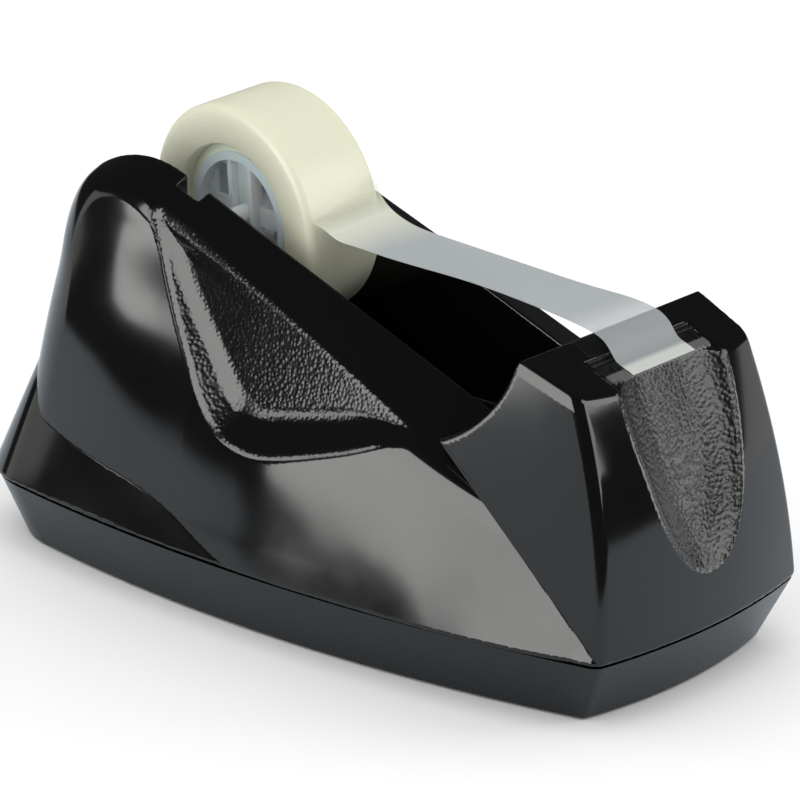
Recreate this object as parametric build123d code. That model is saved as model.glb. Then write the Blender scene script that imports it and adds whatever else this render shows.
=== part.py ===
from build123d import *

import os
from math import atan2, cos, degrees, hypot, radians, sin, tan

# Desktop tape dispenser: weighted base tray, glossy moulded housing, open-topped
# axle slots with a two-part clear hub and a roll of tape, and a steel cutter.
# All lengths are millimetres. +X points to the cutter, +Z up; z = 0 is the table.

os.makedirs("parts", exist_ok=True)

# ---------------------------------------------------------------- main sizes
FOOT_PROUD = 0.6          # the feet lift the tray off the table
PARTING_Z = 13.3          # bottom edge of the housing
SHADOW_GAP = 0.45         # groove between the housing and the tray
WALL = 2.4                # moulded wall thickness of the housing
TRAY_WALL = 2.2
HALF_LENGTH = 82.2

# plan outline at the parting line: two gently bowed flanks, bowed ends
FLANK_REAR = (-70.0, 33.6)
FLANK_MID = (3.0, 40.3)
FRONT_CORNER = (78.65, 31.5)
FRONT_BOW = 3.55
REAR_BOW = 3.6
REAR_ROUND = 19.0
CORNER_ROUND = 2.8

# side profile of the main shell
REAR_SLOPE = 0.18         # rear wall leans forward
SHOULDER_C = (-45.5, 57.8)
SHOULDER_R = 24.0
RIM_SLOPE = 0.388         # the rims fall towards the cutter
RIM_ROUND = 11.0
MAIN_TOP_Z = 85.6

# cutter head
HEAD_REAR = (55.2, 66.9)
HEAD_FRONT = (68.35, 61.8)
SADDLE = (40.9, 49.0)
HEAD_BEVEL = 1.0          # depth of the flat bevel along the top's side edges
FACET_Y0, FACET_DX, FACET_DZ = 47.33, 0.1771, 0.1428
FRONT_BULGE, BULGE_Z, BULGE_HALF = 2.3, 37.5, 24.3

FRONT_LEAN = (FRONT_CORNER[0] - HEAD_FRONT[0]) / (HEAD_FRONT[1] - PARTING_Z)

# roll channel and spool
CHANNEL_HALF = 15.5
CHANNEL_R = 33.5
SPOOL_C = (-31.1, 2.1, 70.5)
SPOOL_YAW = -7.4          # the roll stands a little askew in its slots
SPOOL_TILT = 4.7
ROLL_R, ROLL_WIDTH, ROLL_EDGE = 23.1, 19.0, 1.9
CORE_R_OUT, CORE_R_IN, CORE_WIDTH = 15.05, 12.7, 14.0
AXLE_R = 2.1
AXLE_HALF = 18.0

# cutter well
WELL_REAR_X, WELL_HALF = 61.3, 15.64
WELL_FLOOR_Z = 56.0
BLADE_TIP = (68.4, 61.85)
BLADE_HALF = 14.95
BLADE_T = 0.5
BLADE_DEEP = 5.2
TOOTH = 0.9

# base tray and what it carries
TRAY_INSET, END_DRAFT = 4.0, 1.45
TONGUE_INSET, TONGUE_Z = 3.9, 15.0
BALLAST_PLAN = (92.0, 48.0)
BALLAST_STEP_Z = 9.0
BALLAST_TOP_Z = 22.0
HOLDER_FRONT_X = 64.7
HOLDER_SCREW_X, HOLDER_SCREWS = 63.1, (-9.0, 9.0)

HOLDER_SCREW_R, HOLDER_HEAD_R = 1.0, 1.9

RUN = 0.3                 # gap between pieces that are put together by hand

# flank stations of the main shell: x, half width at the parting line, inward slope
FLANKS = [
    (-95.0, 22.0, 0.17),
    (-64.8, 31.1, 0.17),
    (-44.8, 35.2, 0.175),
    (-24.8, 38.0, 0.19),
    (-4.0, 40.3, 0.20),
    (19.0, 40.1, 0.20),
    (38.0, 38.9, 0.20),
    (59.5, 36.1, 0.28),
    (69.0, 33.9, 0.33),
    (78.0, 31.0, 0.35),
]

# leaf-shaped grip sunk in each flank: mouth and floor outlines, point for point,
# as (x, z) from the rear tip along the top to the nose and back underneath
LEAF_MOUTH = [
    (-34.8, 73.4),
    (-16.9, 69.4), (2.0, 63.2), (23.2, 54.1),
    (33.2, 47.8),
    (18.3, 41.2), (1.8, 36.6), (-6.1, 36.4), (-12.7, 39.0), (-17.4, 43.8), (-24.9, 54.8),
]
LEAF_FLOOR = [
    (-30.0, 71.0),
    (-16.3, 67.9), (2.2, 61.9), (21.8, 53.2),
    (30.0, 48.9),
    (17.6, 45.9), (7.0, 43.2), (0.4, 42.3), (-5.0, 44.0), (-12.0, 50.4), (-22.0, 62.6),
]
LEAF_TOP_COUNT = 3        # mouth points between the rear tip and the nose
LEAF_DEPTH, LEAF_BRIM = 5.4, -0.6   # floor depth and brim level at the leaf's plane
LEAF_STRETCH = 3.5        # most a wall is carried on past the skin
LEAF_TILT = 11.3          # the floor leans like the flank
LEAF_ORIGIN = (0.0, -34.2, 50.0)

# finger scoop under the cutter: half width against height above its middle
SCOOP_RIM = [(16.3, 21.0), (16.1, 14.0), (15.5, 7.0), (14.0, -1.0), (11.2, -9.2), (7.6, -15.8)]
SCOOP_RIM_TOE = (0.0, -20.8)
SCOOP_BED = [(10.9, 21.0), (10.8, 14.0), (10.0, 7.0), (8.6, -1.0), (6.3, -8.0), (3.8, -12.6)]
SCOOP_BED_TOE = (0.0, -15.2)
SCOOP_MID_Z = 45.0
SCOOP_DEPTH = 3.4
SCOOP_LEAN = 16.4

# open-topped slots for the axle
SLOT_HALF = 2.75
SLOT_Y0, SLOT_Y1 = 15.0, 18.8

# screws, posts, feet
POSTS = [(-61.0, -21.0), (-61.0, 21.0), (58.0, -21.5), (58.0, 21.5)]
POST_R, POST_FOOT_Z = 3.6, 6.3
SCREW_R, SCREW_HEAD_R, SCREW_HEAD_T = 1.5, 3.0, 1.7
FEET = [
    ("rear_right", -46, -23), ("rear_left", -46, 23),
    ("front_right", 45, -23), ("front_left", 45, 23),
]
FOOT_R, FOOT_T = 6.0, 1.6
TRAY_FLOOR_Z = FOOT_PROUD + TRAY_WALL
BALLAST_BOLTS = (-34.0, 34.0)

# clear hub
HUB_SLEEVE_T = 6.9
HUB_R = CORE_R_IN - 0.04
HUB_WALL = 1.2

# free tape
TAPE_T = 0.1
PEEL_ANGLES = (30.0, 25.0, 20.0, 15.5)   # where the tail peels off the roll
# x, mid height, half of the height difference between the tape's two edges
TAIL_PATH = [
    (-6.1, 74.7, -0.5),
    (-2.9, 73.0, -0.2),
    (1.0, 72.15, 0.2),
    (8.0, 71.5, 0.4),
    (28.0, 70.55, 0.8),
    (46.0, 69.5, 0.5),
    (57.4, 68.4, 0.0),
    (60.6, 67.4, 0.0),
    (62.6, 65.7, 0.0),
    (64.3, 63.72, 0.0),
    (66.0, 62.96, 0.0),
    (68.2, 62.08, 0.0),
]


def unit(x, z):
    size = hypot(x, z)
    return x / size, z / size


def facet_half(x, z, inset=0.0):
    """Half width of the head's flat flank at (x, z)."""
    return FACET_Y0 - FACET_DX * x - FACET_DZ * z - inset


def profile_prism(points_or_edges, half=60.0):
    """Extrude a closed X-Z outline symmetrically across the part."""
    return extrude(Plane.XZ * make_face(points_or_edges), amount=half, both=True)


def bowed_outline(z, inset=0.0, end_draft=1.0):
    """Plan outline with bowed flanks and ends, rounded at the rear corners."""
    k = inset
    rear_x = -HALF_LENGTH + REAR_BOW + k * end_draft
    rear_y = FLANK_REAR[1] - 1.6 - k
    front_x = FRONT_CORNER[0] - k * end_draft
    front_y = FRONT_CORNER[1] - k
    mid_y = FLANK_MID[1] - k
    near = ThreePointArc((rear_x, -rear_y), (FLANK_MID[0], -mid_y), (front_x, -front_y))
    front = ThreePointArc((front_x, -front_y), (front_x + FRONT_BOW, 0), (front_x, front_y))
    far = ThreePointArc((front_x, front_y), (FLANK_MID[0], mid_y), (rear_x, rear_y))
    rear = ThreePointArc((rear_x, rear_y), (rear_x - REAR_BOW, 0), (rear_x, -rear_y))
    face = make_face([near, front, far, rear])
    corners = face.vertices().sort_by(Axis.X)
    face = fillet(corners[:2], REAR_ROUND - k * 0.5)
    face = fillet(face.vertices().sort_by(Axis.X)[-2:], max(CORNER_ROUND - k * 0.3, 0.6))
    return Plane.XY.offset(z) * face


def flank_outline(z, inset=0.0):
    """Plan section of the main shell at height z."""
    rise = z - PARTING_Z
    near = [(x, -(half - slope * rise - inset)) for x, half, slope in FLANKS]
    far = [(x, -y) for x, y in near]
    edges = [
        Spline(*near),
        Line(near[-1], far[-1]),
        Spline(*reversed(far)),
        Line(far[0], near[0]),
    ]
    return Plane.XY.offset(z) * make_face(edges)


def main_profile(inset=0.0):
    """Side profile: leaning rear wall, round shoulder, falling rim."""
    radius = SHOULDER_R - inset
    rear_n = unit(-1.0, REAR_SLOPE)
    rim_n = unit(RIM_SLOPE, 1.0)
    mid_n = unit(rear_n[0] + rim_n[0], rear_n[1] + rim_n[1])
    cx, cz = SHOULDER_C
    rear, mid, rim = [(cx + radius * n[0], cz + radius * n[1]) for n in (rear_n, mid_n, rim_n)]
    foot = (rear[0] - REAR_SLOPE * rear[1], 0.0)
    lean = FRONT_LEAN
    toe = (FRONT_CORNER[0] - 1.0 - inset + lean * PARTING_Z, 0.0)
    nose_x = (toe[0] - lean * (rim[1] + RIM_SLOPE * rim[0])) / (1 - lean * RIM_SLOPE)
    nose = (nose_x, rim[1] - RIM_SLOPE * (nose_x - rim[0]))
    return [
        Line(foot, rear),
        ThreePointArc(rear, mid, rim),
        Line(rim, nose),
        Line(nose, toe),
        Line(toe, foot),
    ]


def main_shell(inset=0.0):
    low = PARTING_Z
    blank = loft([flank_outline(low, inset), flank_outline(MAIN_TOP_Z, inset)], ruled=True)
    body = blank & profile_prism(main_profile(inset))
    edges = body.edges().filter_by(lambda e: abs(e.center().Y) > 8)
    edges = edges.filter_by(lambda e: e.center().Z > low + 1 and e.bounding_box().size.X > 2)
    slanted = [e for e in edges if e.bounding_box().min.X < 60]
    return fillet(slanted, RIM_ROUND - inset)


def skirt(inset=0.0):
    """Flared foot of the rear half, steeper than the flanks above it."""
    rise, flare = 26.0, 0.404
    low = bowed_outline(PARTING_Z, inset)
    high = bowed_outline(PARTING_Z + rise, inset + rise * flare)
    return loft([low, high], ruled=True)


def head_front_x(z):
    """X of the front face's corners: it leans back and bulges at mid height."""
    bulge = FRONT_BULGE * (1 - ((z - BULGE_Z) / BULGE_HALF) ** 2)
    return FRONT_CORNER[0] - FRONT_LEAN * (z - PARTING_Z) + bulge


def head(inset=0.0):
    """Cutter head: flat flanks, bowed front, hollow rear arc, proud of the shell."""
    sections = []
    for z, bow in ((PARTING_Z, FRONT_BOW), (BULGE_Z, 3.0), (HEAD_FRONT[1], 2.4), (72.0, 2.2)):
        fx = head_front_x(z) - inset
        rx = 30.0
        fy, ry = facet_half(fx, z, inset), facet_half(rx, z, inset)
        sections.append(Plane.XY.offset(z) * make_face([
            Line((rx, -ry), (fx, -fy)),
            ThreePointArc((fx, -fy), (fx + bow, 0), (fx, fy)),
            Line((fx, fy), (rx, ry)),
            Line((rx, ry), (rx, -ry)),
        ]))
    block = loft(sections)
    corners = [e for e in block.edges() if e.center().X > 60 and e.bounding_box().size.Z > 40]
    block = fillet(corners, max(CORNER_ROUND - inset, 0.5))
    top_slope = (HEAD_REAR[1] - HEAD_FRONT[1]) / (HEAD_FRONT[0] - HEAD_REAR[0])
    nx, nz = unit(top_slope, 1.0)
    down = inset / nz
    rear = (HEAD_REAR[0] + inset, HEAD_REAR[1] - down - top_slope * inset)
    nose_x = 90.0
    nose = (nose_x, HEAD_REAR[1] - down - top_slope * (nose_x - HEAD_REAR[0]))
    low = (SADDLE[0] + inset * 1.4, SADDLE[1] - inset * 0.4)
    arc_mid = (51.3 + inset, 57.2 - inset * 0.4)
    toe = (FRONT_CORNER[0] + 1.0, PARTING_Z - 0.95)
    outline = [
        ThreePointArc(low, arc_mid, rear),
        Line(rear, nose),
        Line(nose, (nose_x, 0.0)),
        Line((nose_x, 0.0), (toe[0], 0.0)),
        Line((toe[0], 0.0), toe),
        Line(toe, low),
    ]
    body = block & profile_prism(outline)
    if inset:
        return body
    flank_n = Vector(FACET_DX, -1.0, FACET_DZ).normalized()
    top_n = Vector(nx, 0, nz)
    x0, z0 = HEAD_REAR
    edge_mid = Vector(x0, -facet_half(x0, z0), z0)
    bevel_n = (flank_n + top_n).normalized()
    bevel = Plane(origin=edge_mid - bevel_n * HEAD_BEVEL, x_dir=flank_n.cross(top_n), z_dir=bevel_n)
    trim = extrude(bevel * Rectangle(80, 20), amount=10)
    body = body - trim - mirror(trim, Plane.XZ)
    back = body.edges().filter_by(lambda e: e.bounding_box().size.Y > 45 and e.center().Z > 64)
    return fillet(back, 0.8)


# ------------------------------------------------- pockets in the outer skin
def leaf_plane():
    a = radians(LEAF_TILT)
    return Plane(origin=LEAF_ORIGIN, x_dir=(1, 0, 0), z_dir=(0, -cos(a), sin(a)))


def skin_point(body, x, z):
    """Where a line across the part at (x, z) first meets the near flank."""
    hits = body.find_intersection_points(Axis((x, -60, z), (0, 1, 0)))
    return min((point for point, _ in hits), key=lambda point: point.Y)


def leaf_face(level, points):
    """Leaf outline at this level over the leaf's plane, pointed at both tips."""
    nose = LEAF_TOP_COUNT + 1
    edges = [Spline(*points[:nose + 1]), Spline(*points[nose:], points[0])]
    return leaf_plane().offset(level) * make_face(edges)


def leaf_pocket(body, grow=0.0):
    """Leaf-shaped sink in the near flank of body; grow thickens it by the wall."""
    plane = leaf_plane()
    floor_level = -LEAF_DEPTH - grow
    spread_x, spread_z = 1 + grow / 26.0, 1 + grow / 14.0

    def spread(x, z):
        return 3 + (x - 3) * spread_x, 3 + (z - 3) * spread_z
    mouth, floor = [], []
    for (x, z), (fx, fz) in zip(LEAF_MOUTH, LEAF_FLOOR):
        skin = plane.to_local_coords(skin_point(body, x, z))
        stretch = min((LEAF_BRIM + LEAF_DEPTH) / (skin.Z + LEAF_DEPTH), LEAF_STRETCH)
        low = (fx, (fz - LEAF_ORIGIN[2]) / cos(radians(LEAF_TILT)))
        high = [a + (b - a) * stretch for a, b in zip(low, (skin.X, skin.Y))]
        floor.append(spread(*low))
        mouth.append(spread(*high))
    return loft([leaf_face(LEAF_BRIM, mouth), leaf_face(floor_level, floor)], ruled=True)


def scoop_face(depth, lean, points, toe, grow=0.0):
    c, s = cos(radians(lean)), sin(radians(lean))
    front_x = head_front_x(SCOOP_MID_Z) + 3.1
    plane = Plane(origin=(front_x - depth, 0, SCOOP_MID_Z), x_dir=(0, 1, 0), z_dir=(c, 0, s))
    right = [(y + grow, w) for y, w in points] + [(toe[0], toe[1] - grow)]
    left = [(-y, w) for y, w in reversed(right[:-1])]
    path = Spline(*right, *left)
    return plane * make_face([path, Line(left[-1], right[0])])


def scoop(grow=0.0):
    """Finger scoop under the cutter, widest at the blade."""
    lean = degrees(atan2(FRONT_LEAN, 1.0))
    mouth = scoop_face(-0.4, lean, SCOOP_RIM, SCOOP_RIM_TOE, grow)
    bed = scoop_face(SCOOP_DEPTH + grow, SCOOP_LEAN, SCOOP_BED, SCOOP_BED_TOE, grow)
    pocket = loft([mouth, bed], ruled=True)
    c, s = cos(radians(lean)), sin(radians(lean))
    return pocket + extrude(mouth, amount=8.0, dir=(c, 0, s))


def block(x0, x1, half_y, z0, z1):
    return Pos((x0 + x1) / 2, 0, (z0 + z1) / 2) * Box(x1 - x0, 2 * half_y, z1 - z0)


def channel(grow=0.0):
    """Trough between the rims for the roll, round at the back and below."""
    cx, _, cz = SPOOL_C
    radius = CHANNEL_R + grow
    floor_z = cz - radius
    diag = radius * sin(radians(45))
    front_x, ramp = 50.0 + grow, 8.0
    edges = [
        Line((cx - radius, 130.0), (cx - radius, cz)),
        ThreePointArc((cx - radius, cz), (cx - diag, cz - diag), (cx, floor_z)),
        Line((cx, floor_z), (front_x - ramp, floor_z)),
        Line((front_x - ramp, floor_z), (front_x, floor_z + ramp)),
        Line((front_x, floor_z + ramp), (front_x, 130.0)),
        Line((front_x, 130.0), (cx - radius, 130.0)),
    ]
    return profile_prism(edges, CHANNEL_HALF + grow)


def bed_z(x, drop=0.0):
    """Height of the slope the cutter lies on, lowered by drop."""
    lean = hypot(1, RIM_SLOPE)
    return BLADE_TIP[1] + RIM_SLOPE * (BLADE_TIP[0] - x) - (BLADE_T + drop) * lean


def well(grow=0.0):
    """Pit for the blade holder; in front of it the wall comes up to the cutter."""
    if grow:
        return block(WELL_REAR_X - grow, 84.0, WELL_HALF + grow, WELL_FLOOR_Z - grow, 90.0)
    front_x = HOLDER_FRONT_X + RUN
    outline = [
        (WELL_REAR_X, WELL_FLOOR_Z),
        (front_x, WELL_FLOOR_Z),
        (front_x, bed_z(front_x, 0.06)),
        (84.0, bed_z(84.0, 0.06)),
        (84.0, 90.0),
        (WELL_REAR_X, 90.0),
    ]
    return profile_prism(Polyline(*outline, close=True), WELL_HALF)


# ------------------------------------------------------------- spool geometry
def spool_plane(t=0.0):
    """Plane across the spool's axis, t millimetres along it from the middle."""
    yaw, tilt = radians(-SPOOL_YAW), radians(SPOOL_TILT)
    axis = Vector(sin(yaw) * cos(tilt), cos(yaw) * cos(tilt), sin(tilt))
    across = Vector(cos(yaw), -sin(yaw), 0)
    origin = Vector(*SPOOL_C) + axis * t
    return Plane(origin=origin, x_dir=across, z_dir=axis)


def spool_disc(t0, t1, r_out, r_in=0.0):
    sketch = Circle(r_out) - Circle(r_in) if r_in else Circle(r_out)
    return extrude(spool_plane(t0) * sketch, amount=t1 - t0)


def axle_point(y):
    """Point on the spool's axis at this y."""
    axis = spool_plane().z_dir
    t = (y - SPOOL_C[1]) / axis.Y
    return Vector(*SPOOL_C) + axis * t


def axle_slots(grow=0.0):
    """Open-topped slots in both rims, each centred on its end of the axle."""
    slots = Part()
    for side in (-1, 1):
        mid = axle_point(side * (SLOT_Y0 + AXLE_HALF) / 2)
        low = min(axle_point(side * y).Z for y in (CHANNEL_HALF, AXLE_HALF))
        seat = low - AXLE_R - 0.1 + SLOT_HALF
        r = SLOT_HALF + grow
        y0, y1 = sorted((side * SLOT_Y0, side * (SLOT_Y1 + grow)))
        upright = Pos(mid.X, (y0 + y1) / 2, seat + 30) * Box(2 * r, y1 - y0, 60)
        round_end = Pos(mid.X, (y0 + y1) / 2, seat) * Rot(90, 0, 0) * Cylinder(r, y1 - y0)
        slots += upright + round_end
    return slots


def rod(x, y, z0, z1, radius):
    return Pos(x, y, (z0 + z1) / 2) * Cylinder(radius, z1 - z0)


def outer_body(inset=0.0):
    return main_shell(inset) + skirt(inset) + head(inset)


def upper_housing():
    """Moulded housing: a shell with every sink and cut walled on the inside."""
    solid = outer_body()

    def sinks(grow=0.0):
        leaf = leaf_pocket(solid, grow)
        return [channel(grow), well(grow), scoop(grow), axle_slots(grow), leaf, mirror(leaf, Plane.XZ)]
    posts = Part()
    for x, y in POSTS:
        posts += rod(x, y, POST_FOOT_Z, 90, POST_R)
    hollow = outer_body(WALL)
    for grown in sinks(WALL):
        hollow -= grown
    hollow -= posts
    body = solid - hollow
    body += posts & block(-90, 90, 60, 0, PARTING_Z + 0.01)
    for sink in sinks():
        body -= sink
    for x, y in POSTS:
        body -= rod(x, y, 0, POST_FOOT_Z + 14, SCREW_R + 0.02)
    for y in HOLDER_SCREWS:
        body -= rod(HOLDER_SCREW_X, y, 40, WELL_FLOOR_Z - WALL, HOLDER_HEAD_R + 0.3)
        body -= rod(HOLDER_SCREW_X, y, 40, WELL_FLOOR_Z + 1, HOLDER_SCREW_R + 0.3)
    return body


def base_tray():
    """Weighted base: flared tray with a tongue that locates the housing."""
    top = PARTING_Z - SHADOW_GAP
    low = bowed_outline(FOOT_PROUD, TRAY_INSET, END_DRAFT)
    rim = bowed_outline(top, SHADOW_GAP)
    body = loft([low, rim], ruled=True)
    shelf = top - 2.6
    share = (shelf - FOOT_PROUD) / (top - FOOT_PROUD)
    floor_in = TRAY_INSET + TRAY_WALL
    shelf_in = TRAY_INSET + (SHADOW_GAP - TRAY_INSET) * share + TRAY_WALL
    hollow = loft([
        bowed_outline(TRAY_FLOOR_Z, floor_in, END_DRAFT),
        bowed_outline(shelf, shelf_in),
    ], ruled=True)
    tongue = extrude(bowed_outline(shelf, TONGUE_INSET), amount=TONGUE_Z - shelf)
    mouth = extrude(bowed_outline(shelf - 0.5, TONGUE_INSET + 1.6), amount=TONGUE_Z)
    body = body + tongue - hollow - mouth
    for x, y in POSTS:
        body += rod(x, y, FOOT_PROUD, POST_FOOT_Z - 0.05, POST_R + 1.4)
        body -= rod(x, y, 0, POST_FOOT_Z - 2.0, SCREW_HEAD_R + 0.5)
        body -= rod(x, y, 0, 20, SCREW_R + 0.3)
    for x in BALLAST_BOLTS:
        body += rod(x, 0, FOOT_PROUD, BALLAST_STEP_Z - 0.1, 4.5)
        body -= rod(x, 0, TRAY_FLOOR_Z, 30, SCREW_R + 0.02)
    for _, x, y in FEET:
        body -= rod(x, y, 0, FOOT_T + 0.02, FOOT_R + 0.15)
    return body


def ballast():
    """Cast iron slab that keeps the dispenser down while tape is pulled."""
    plan = Plane.XY.offset(TRAY_FLOOR_Z) * RectangleRounded(*BALLAST_PLAN, 6)
    slab = extrude(plan, amount=BALLAST_TOP_Z - TRAY_FLOOR_Z)
    slab = chamfer(slab.faces().sort_by(Axis.Z)[-1].edges(), 1.0)
    for x in BALLAST_BOLTS:
        slab -= rod(x, 0, 0, BALLAST_STEP_Z, 4.9)
        slab -= rod(x, 0, 0, 40, SCREW_R + 0.4)
    return slab


def pan_screw(x, y, head_z, length, up):
    """Pan-head screw; its head's bearing face is at head_z."""
    way = 1 if up else -1
    head_low, head_high = sorted((head_z, head_z - way * SCREW_HEAD_T))
    shank_low, shank_high = sorted((head_z, head_z + way * length))
    screw = rod(x, y, head_low, head_high, SCREW_HEAD_R) + rod(x, y, shank_low, shank_high, SCREW_R)
    crown_z = head_z - way * SCREW_HEAD_T
    for size in ((4.0, 0.8), (0.8, 4.0)):
        screw -= Pos(x, y, crown_z) * Box(*size, 1.8)
    return screw


def foot(x, y):
    pad = rod(x, y, 0, FOOT_T, FOOT_R)
    return fillet(pad.faces().sort_by(Axis.Z)[0].edges(), 0.4)


def hub_half(side):
    """One clear half: sleeve, lip, ribbed web and stub axle (side -1 is near)."""
    def disc(t0, t1, r_out, r_in=0.0):
        low, high = sorted((side * t0, side * t1))
        return spool_disc(low, high, r_out, r_in)
    body = disc(0.03, HUB_SLEEVE_T, HUB_R, HUB_R - HUB_WALL)
    body += disc(CORE_WIDTH / 2 + 0.04, CORE_WIDTH / 2 + 0.6, HUB_R + 0.6, HUB_R - HUB_WALL)
    body += disc(HUB_SLEEVE_T - 0.5, CORE_WIDTH / 2 + 0.5, HUB_R, HUB_R - HUB_WALL)
    web = disc(4.0, 5.2, HUB_R - 1.0)
    for turn in (0, 180):
        for sector in (-1, 1):
            window = Rectangle(6.0, 7.0)
            spot = Rot(0, 0, turn) * Pos(sector * 6.2, 5.4) * window
            low, high = sorted((side * 3.0, side * 6.0))
            web -= extrude(spool_plane(low) * spot, amount=high - low)
    body += web
    for shift in (-1, 1):
        low, high = sorted((side * 4.6, side * HUB_SLEEVE_T))
        rib = Pos(shift * 2.9, 0) * Rectangle(1.1, 2 * (HUB_R - 0.8))
        body += extrude(spool_plane(low) * rib, amount=high - low)
    body += disc(0.03, 5.0, 4.0, 2.4)
    reach = (AXLE_HALF - side * SPOOL_C[1]) / spool_plane().z_dir.Y
    body += disc(4.0, reach, AXLE_R)
    return body


def tape_core():
    return spool_disc(-CORE_WIDTH / 2, CORE_WIDTH / 2, CORE_R_OUT, CORE_R_IN)


def tape_roll():
    roll = spool_disc(-ROLL_WIDTH / 2, ROLL_WIDTH / 2, ROLL_R, CORE_R_OUT + 0.05)
    edges = [e for e in roll.edges() if e.length > 2 * 3.1 * (ROLL_R - 1)]
    return fillet(edges, ROLL_EDGE)


def tail_edge(side, lift):
    """One long edge of the free tape, lifted off its underside by lift."""
    plane = spool_plane(side * ROLL_WIDTH / 2)
    reach = ROLL_R + 0.12 + lift
    points = []
    for angle in PEEL_ANGLES:
        a = radians(angle)
        points.append(plane.from_local_coords(Vector(reach * cos(a), -reach * sin(a), 0)))
    start_y = points[-1].Y
    last = (-8.6, 78.0)
    for i, (x, z, twist) in enumerate(TAIL_PATH):
        ahead = TAIL_PATH[min(i + 1, len(TAIL_PATH) - 1)]
        nx, nz = unit(last[1] - ahead[1], ahead[0] - last[0])
        blend = min(1.0, (x + 8.0) / 30.0)
        y = start_y + (side * ROLL_WIDTH / 2 - start_y) * blend
        points.append(Vector(x + nx * lift, y, z + nz * lift - side * twist))
        last = (x, z)
    return Spline(*points).edge()


def tape_strip():
    """Free length of tape: peels off the roll, spans to the head, ends at the teeth."""
    under = [tail_edge(side, 0.0) for side in (-1, 1)]
    over = [tail_edge(side, TAPE_T) for side in (-1, 1)]
    ruled = Face.make_surface_from_curves
    faces = [ruled(*under), ruled(*over)]
    faces += [ruled(low, high) for low, high in zip(under, over)]
    for t in (0, 1):
        ends = [Line(pair[0] @ t, pair[1] @ t).edge() for pair in (under, over)]
        faces.append(ruled(*ends))
    return Solid(Shell(faces))


def blade():
    """Serrated steel cutter lying on the holder, teeth towards the front."""
    down = RIM_SLOPE
    lean = atan2(down, 1.0)
    tip = Vector(BLADE_TIP[0], 0, BLADE_TIP[1])
    plane = Plane(origin=tip, x_dir=(0, 1, 0), z_dir=(-sin(lean), 0, -cos(lean)))
    sign = 1 if plane.y_dir.X > 0 else -1
    count = 24
    pitch = 2 * BLADE_HALF / count
    teeth = []
    for i in range(count):
        y = -BLADE_HALF + i * pitch
        teeth += [(y, -sign * TOOTH), (y + pitch / 2, 0.0)]
    teeth.append((BLADE_HALF, -sign * TOOTH))
    outline = [(-BLADE_HALF, -sign * BLADE_DEEP), *teeth, (BLADE_HALF, -sign * BLADE_DEEP)]
    return extrude(plane * make_face(Polyline(*outline, close=True)), amount=BLADE_T)


def blade_holder():
    """Insert in the well: two cross ribs behind a sloped bed for the cutter."""
    bed_x = BLADE_TIP[0] - BLADE_DEEP * cos(atan2(RIM_SLOPE, 1.0))
    x0 = WELL_REAR_X + RUN
    low = WELL_FLOOR_Z + 0.02
    front_x = HOLDER_FRONT_X
    outline = [
        (x0, low),
        (x0, 64.6),
        (x0 + 0.55, 64.6),
        (x0 + 0.55, 63.5),
        (x0 + 0.95, 63.5),
        (x0 + 0.95, 64.0),
        (bed_x - 0.3, 64.0),
        (bed_x - 0.3, bed_z(bed_x - 0.3, 0.02)),
        (front_x, bed_z(front_x, 0.02)),
        (front_x, low),
    ]
    body = profile_prism(Polyline(*outline, close=True), WELL_HALF - RUN)
    for y in HOLDER_SCREWS:
        body -= rod(HOLDER_SCREW_X, y, WELL_FLOOR_Z - 1, WELL_FLOOR_Z + 5.2, HOLDER_SCREW_R + 0.02)
    return body


def holder_screw(y):
    seat = WELL_FLOOR_Z - WALL
    head = rod(HOLDER_SCREW_X, y, seat - 1.2, seat - 0.02, HOLDER_HEAD_R)
    shank = rod(HOLDER_SCREW_X, y, seat - 0.1, seat + 6.8, HOLDER_SCREW_R)
    return head + shank - Pos(HOLDER_SCREW_X, y, seat - 1.2) * Box(2.6, 0.6, 1.0)


def build():
    nodes = {
        "upper_housing": upper_housing(),
        "base_tray": base_tray(),
        "ballast": ballast(),
        "blade_holder": blade_holder(),
        "cutter_blade": blade(),
        "hub_near": hub_half(-1),
        "hub_far": hub_half(1),
        "tape_core": tape_core(),
        "tape_roll": tape_roll(),
        "tape_strip": tape_strip(),
        "housing_screws": Compound([pan_screw(x, y, POST_FOOT_Z - 2.02, 14.0, True).solid() for x, y in POSTS]),
        "ballast_screws": Compound([
            pan_screw(x, 0, BALLAST_TOP_Z + 0.02, BALLAST_TOP_Z - TRAY_FLOOR_Z - 1.0, False).solid()
            for x in BALLAST_BOLTS
        ]),
        "holder_screws": Compound([holder_screw(y).solid() for y in HOLDER_SCREWS]),
    }
    for name, x, y in FEET:
        nodes["foot_" + name] = foot(x, y)
    return nodes


for node, shape in build().items():
    export_step(shape, f"parts/{node}.step")
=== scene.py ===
"""Desktop tape dispenser: gloss black housing, satin base, clear hub, roll of matt tape.

The housing is meshed from a distance field: functions of (x, y, z) in millimetres that are
negative inside the plastic. The wound tape is a turned ring. Every other piece is the CAD
node itself with a procedural material.
"""

import math

import bmesh
import bpy
import numpy as np
from mathutils import Matrix, Vector


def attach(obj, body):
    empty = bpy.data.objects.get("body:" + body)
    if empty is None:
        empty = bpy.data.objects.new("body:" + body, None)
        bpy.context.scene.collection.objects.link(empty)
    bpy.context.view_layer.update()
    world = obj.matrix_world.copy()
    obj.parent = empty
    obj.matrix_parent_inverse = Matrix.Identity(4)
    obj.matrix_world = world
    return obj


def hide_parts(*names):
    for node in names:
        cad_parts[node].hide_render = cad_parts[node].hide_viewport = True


MM = 0.001
GRID_MM = 0.5

# ------------------------------------------------------- housing sizes, in millimetres
PARTING_Z = 13.3                       # bottom edge of the housing
HALF_LENGTH = 82.2
WALL = 2.4
BOTTOM_ROUND = 0.7                     # of the housing's bottom edge

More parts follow.
